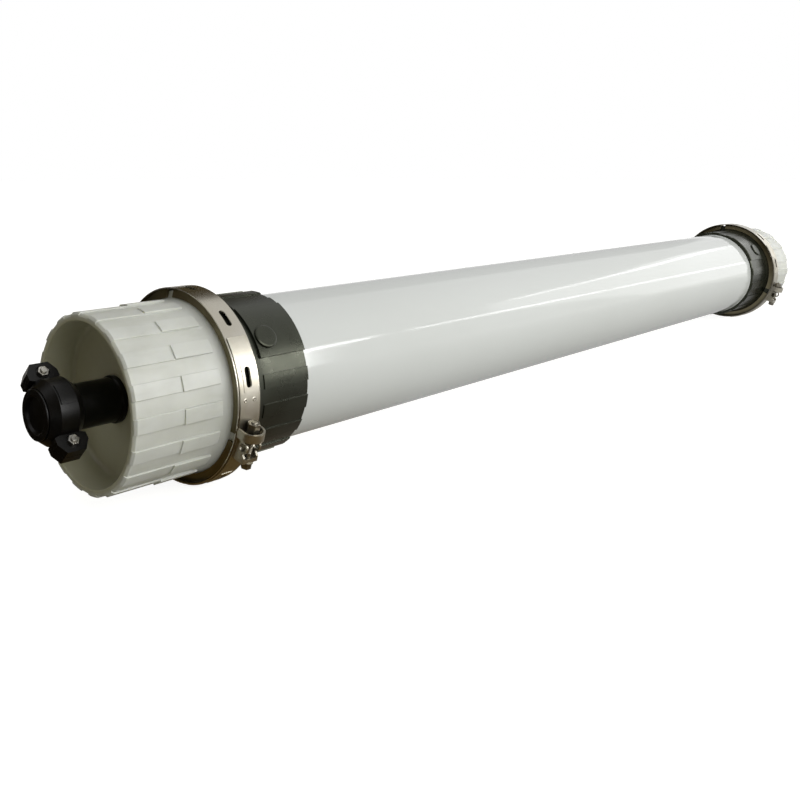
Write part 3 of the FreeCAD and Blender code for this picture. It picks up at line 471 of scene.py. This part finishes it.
def addCouplingThreads():
    mesh = bmesh.new()
    out = outwards(couplingThread["turn"])
    tangent = Vector((1, 0, 0)).cross(out)
    for sign in (-1, 1):
        foot = Vector((couplingThread["centre"], 0, 0)) + tangent * couplingThread["place"] * sign
        cutThread(mesh, (foot + out * couplingThread["begin"]) * mm, out, couplingThread["length"])
    addPiece("coupling_bolt_threads", mesh, "bolt_steel")


def pressSpot(mesh, x, turn):
    # A spot weld: a shallow ring with a dished middle
    steps = spots["steps"]
    rows = []
    for step in range(steps):
        swing = 2 * math.pi * step / steps
        rows.append([mesh.verts.new(wrapPoint(
            x + radius * math.cos(swing), turn, spots["surface"],
            radius * math.sin(swing), height)) for radius, height in spots["profile"]])
    for place in range(len(spots["profile"]) - 1):
        for step in range(steps):
            after = (step + 1) % steps
            mesh.faces.new((rows[step][place], rows[step][place + 1],
                            rows[after][place + 1], rows[after][place]))
    mesh.faces.new([row[0] for row in rows])
    mesh.faces.new([row[-1] for row in reversed(rows)])


def addSpots():
    for end, sign in ends:
        mesh = bmesh.new()
        for turn in spots["turns"]:
            for offset in (-spots["offset"], spots["offset"]):
                pressSpot(mesh, clampCentre * sign + offset, turn)
        addPiece(end + "_strap_spot_welds", mesh, "clamp_steel", 60)


def addGlueBeads():
    # Solvent cement pressed out of each socket's mouth, round the tube
    for end, sign in ends:
        mesh = bmesh.new()
        rows = []
        for step in range(bead["steps"]):
            turn = 360 * step / bead["steps"]
            lean = math.radians(turn)
            grow = bead["size"] * sum(
                (size * math.sin(count * lean + shift) for size, count, shift in bead["waves"]), 1)
            rows.append([mesh.verts.new(wrapPoint(
                (bead["mouth"] - along * grow) * sign, turn, bead["surface"], 0, rise * grow))
                for along, rise in bead["profile"]])
        joinRows(mesh, rows, True)
        addPiece(end + "_socket_glue_bead", mesh, "tube_plastic", 70)


addLatchThreads()
addCouplingThreads()
addSpots()
addGlueBeads()
print("details added")


# Floor, lights and camera. Lengths are in metres from here on.

floorLook = {"size": 60.0, "colour": "B0AFA8", "glow": 0.88, "drop": 0.0002}
matLook = {
    "size": 5.0, "drop": 0.0001, "near": "8A7246", "brownToWhite": (-0.95, -0.5),
    "openToUnder": (-1.25, -0.05), "under": 0.5, "darkToFull": (-1.35, -1.1), "dark": 0.1}
ambientLevel = 0.5
stripDistance = 2.35
bentCardDistance = 2.5
bentCardSteps = 8
cameraLook = {
    "place": (-1.7329, -1.0441, 0.3036), "direction": (0.7287, 0.6757, -0.1114),
    "sensor": 36, "lens": 40.38, "shift": (0.0375, -0.1625), "clipStart": 0.02}


def newPlane(name, width, depth, place, target=None):
    # A flat card, level or turned to face its target
    mesh = bmesh.new()
    bmesh.ops.create_grid(mesh, x_segments=1, y_segments=1, size=0.5)
    bmesh.ops.scale(mesh, verts=mesh.verts, vec=(width, depth, 1))
    if target is not None:
        turn = (Vector(target) - Vector(place)).to_track_quat("Z", "Y").to_matrix()
        bmesh.ops.rotate(mesh, verts=mesh.verts, matrix=turn, cent=(0, 0, 0))
    bmesh.ops.translate(mesh, verts=mesh.verts, vec=place)
    plane = newObject(name, mesh)
    return plane


def backdropSeen(tree):
    # 1 where the camera, or a reflection, looks at the backdrop
    path = addNode(tree, "ShaderNodeLightPath").outputs
    direct = calculate(tree, "ADD", path["Is Camera Ray"], path["Is Glossy Ray"])
    return calculate(tree, "ADD", direct, path["Is Transmission Ray"], use_clamp=True)


def makeFloor():
    floor = newPlane("floor", floorLook["size"], floorLook["size"],
                     (0, 0, cadLow[2] - floorLook["drop"]))
    material, tree = newMaterial("painted floor")
    paint = addNode(tree, "ShaderNodeBsdfDiffuse", {"Color": hexColour(floorLook["colour"])})
    level = calculate(tree, "MULTIPLY", backdropSeen(tree), floorLook["glow"])
    glow = addNode(tree, "ShaderNodeEmission", {"Color": white, "Strength": level})
    both = addNode(tree, "ShaderNodeAddShader", {
        0: paint.outputs["BSDF"], 1: glow.outputs["Emission"]})
    addNode(tree, "ShaderNodeOutputMaterial", {"Surface": both.outputs["Shader"]})
    floor.data.materials.append(material)


def makeWorld():
    world = bpy.data.worlds.new("studio")
    bpy.context.scene.world = world
    world.use_nodes = True
    tree = world.node_tree
    tree.nodes.clear()
    light = addNode(tree, "ShaderNodeBackground", {"Color": white, "Strength": ambientLevel})
    seen = addNode(tree, "ShaderNodeBackground", {"Color": white, "Strength": 1.0})
    mixed = addNode(tree, "ShaderNodeMixShader", {
        0: backdropSeen(tree), 1: light.outputs["Background"], 2: seen.outputs["Background"]})
    addNode(tree, "ShaderNodeOutputWorld", {"Surface": mixed.outputs["Shader"]})


def addGlow(tree, colour, level):
    glow = addNode(tree, "ShaderNodeEmission", {"Color": colour, "Strength": level})
    addNode(tree, "ShaderNodeOutputMaterial", {"Surface": glow.outputs["Emission"]})


def newGlow(name, colour, level):
    material, tree = newMaterial(name)
    addGlow(tree, hexColour(colour), level)
    return material


def standCard(card, material, dimsRoom=False):
    # A card shows in reflections and casts no shadow. Only one that dims the room is seen by
    # diffuse surfaces.
    card.data.materials.append(material)
    card.visible_camera = False
    card.visible_shadow = False
    card.visible_diffuse = dimsRoom


def makeMat():
    # A mat on the floor: brown under the near end and dark before it, so that steel and dark
    # plastic have something dark to mirror, grey under the white tube and white away from it
    mat = newPlane("mat", matLook["size"], matLook["size"], (0, 0, cadLow[2] - matLook["drop"]))
    material, tree = newMaterial("shaded mat")
    parts = addNode(tree, "ShaderNodeSeparateXYZ", {"Vector": objectPlace(tree)}).outputs
    along = mapRange(tree, parts["X"], matLook["brownToWhite"], (0.0, 1.0))
    away = mapRange(tree, parts["Y"], matLook["openToUnder"], (1.0, matLook["under"]))
    before = mapRange(tree, parts["X"], matLook["darkToFull"], (matLook["dark"], 1.0))
    addGlow(tree, mixColours(tree, along, hexColour(matLook["near"]), white),
            calculate(tree, "MULTIPLY", away, before))
    standCard(mat, material)


def makeCards():
    # Dark cards stand round the near end, behind the camera and behind the tube, and a grey one
    # stands further along, so that steel, dark plastic and the tube's edges mirror something dark
    dark = newGlow("dark card", "66562A", 0.45)
    grey = newGlow("grey card", "FFFFFF", 0.6)
    cards = [
        ("card behind camera", 7.0, 4.4, (-4.4, -1.2, 1.6), (-1.0, 0.0, 0.1), dark, True),
        ("card behind cap", 6.0, 3.4, (-0.9, 2.9, 2.1), (-0.9, 0.0, 0.2), dark, False),
        ("card behind tube", 7.0, 3.4, (5.6, 2.9, 2.1), (5.6, 0.0, 0.2), grey, False),
        ("card beyond coupling", 3.0, 1.1, (-2.7, 1.7, 0.45), (-1.2, 0.0, 0.0), dark, False),
    ]
    for name, width, depth, place, target, material, dimsRoom in cards:
        standCard(newPlane(name, width, depth, place, target), material, dimsRoom)


def lampPlace(along, height, distance):
    # A place given along the tube and by its angle above the horizontal, seen from the tube's axis
    lean = math.radians(height)
    return Vector((along, -distance * math.cos(lean), distance * math.sin(lean)))


def bendCard(name, columns, level):
    # A bright card that only glossy pieces mirror. It is bent round the tube's axis, and each
    # column is a place along the tube with its lowest and its highest angle.
    mesh = bmesh.new()
    rows = []
    for along, low, high in columns:
        rows.append([mesh.verts.new(lampPlace(
            along, low + (high - low) * step / bentCardSteps, bentCardDistance))
            for step in range(bentCardSteps + 1)])
    for left, right in zip(rows, rows[1:]):
        for step in range(bentCardSteps):
            mesh.faces.new((left[step], right[step], right[step + 1], left[step + 1]))
    card = newObject(name, mesh)
    standCard(card, newGlow(name, "FFFFFF", level))


def addLamp(name, place, target, size, power, along=None):
    # A rectangular lamp that faces its target. Its long side follows the direction along.
    data = bpy.data.lights.new(name, "AREA")
    data.shape = "RECTANGLE"
    data.size, data.size_y = size
    data.energy = power
    lamp = bpy.data.objects.new(name, data)
    bpy.context.scene.collection.objects.link(lamp)
    lamp.location = place
    back = (Vector(place) - Vector(target)).normalized()
    side = Vector(along or (1, 0, 0))
    side = (side - back * side.dot(back)).normalized()
    lamp.rotation_euler = Matrix((side, back.cross(side), back)).transposed().to_euler()
    return lamp


def addStrip(name, start, end, depth, radiance):
    # A strip light that the glossy tube mirrors as a streak
    points = [lampPlace(along, height, stripDistance) for along, height in (start, end)]
    run = points[1] - points[0]
    middle = (points[0] + points[1]) / 2
    power = radiance * math.pi * run.length * depth
    addLamp(name, middle, (middle.x, 0, 0), (run.length, depth), power, run)


def addCamera():
    # Read off the photograph: the camera stands before the near end and looks along the tube
    data = bpy.data.cameras.new("camera")
    data.sensor_width = cameraLook["sensor"]
    data.lens = cameraLook["lens"]
    data.shift_x, data.shift_y = cameraLook["shift"]
    data.clip_start = cameraLook["clipStart"]
    camera = bpy.data.objects.new("camera", data)
    bpy.context.scene.collection.objects.link(camera)
    camera.location = cameraLook["place"]
    camera.rotation_euler = Vector(cameraLook["direction"]).to_track_quat("-Z", "Y").to_euler()
    bpy.context.scene.camera = camera


makeFloor()
makeWorld()
makeMat()
makeCards()
addLamp("window", (-0.2, -3.8, 1.5), (0.1, 0, 0), (4.0, 2.0), 110)
fill = addLamp("fill from behind", (0.4, 3.4, 2.2), (0, 0, 0), (3.0, 1.6), 24)
fill.visible_glossy = False
addStrip("strip by the socket", (0.75, 28), (1.6, 28), 0.13, 10)
addStrip("strip near", (1.9, 28), (4.0, 28), 0.1, 4.6)
addStrip("strip far", (4.2, 28), (7.8, 28), 0.12, 3.0)
addStrip("strip rising", (2.9, 47), (6.2, 86), 0.12, 3.4)
bendCard("fan of light", [
    (2.9, 27, 45), (4.4, 12, 58), (5.1, -6, 76), (6.0, -8, 88), (8.4, -8, 98)], 1.95)
bendCard("light for the socket", [(0.95, 2, 30), (1.28, 2, 30)], 16.0)
addCamera()
bpy.context.scene.view_settings.view_transform = "Standard"
print("stage set")
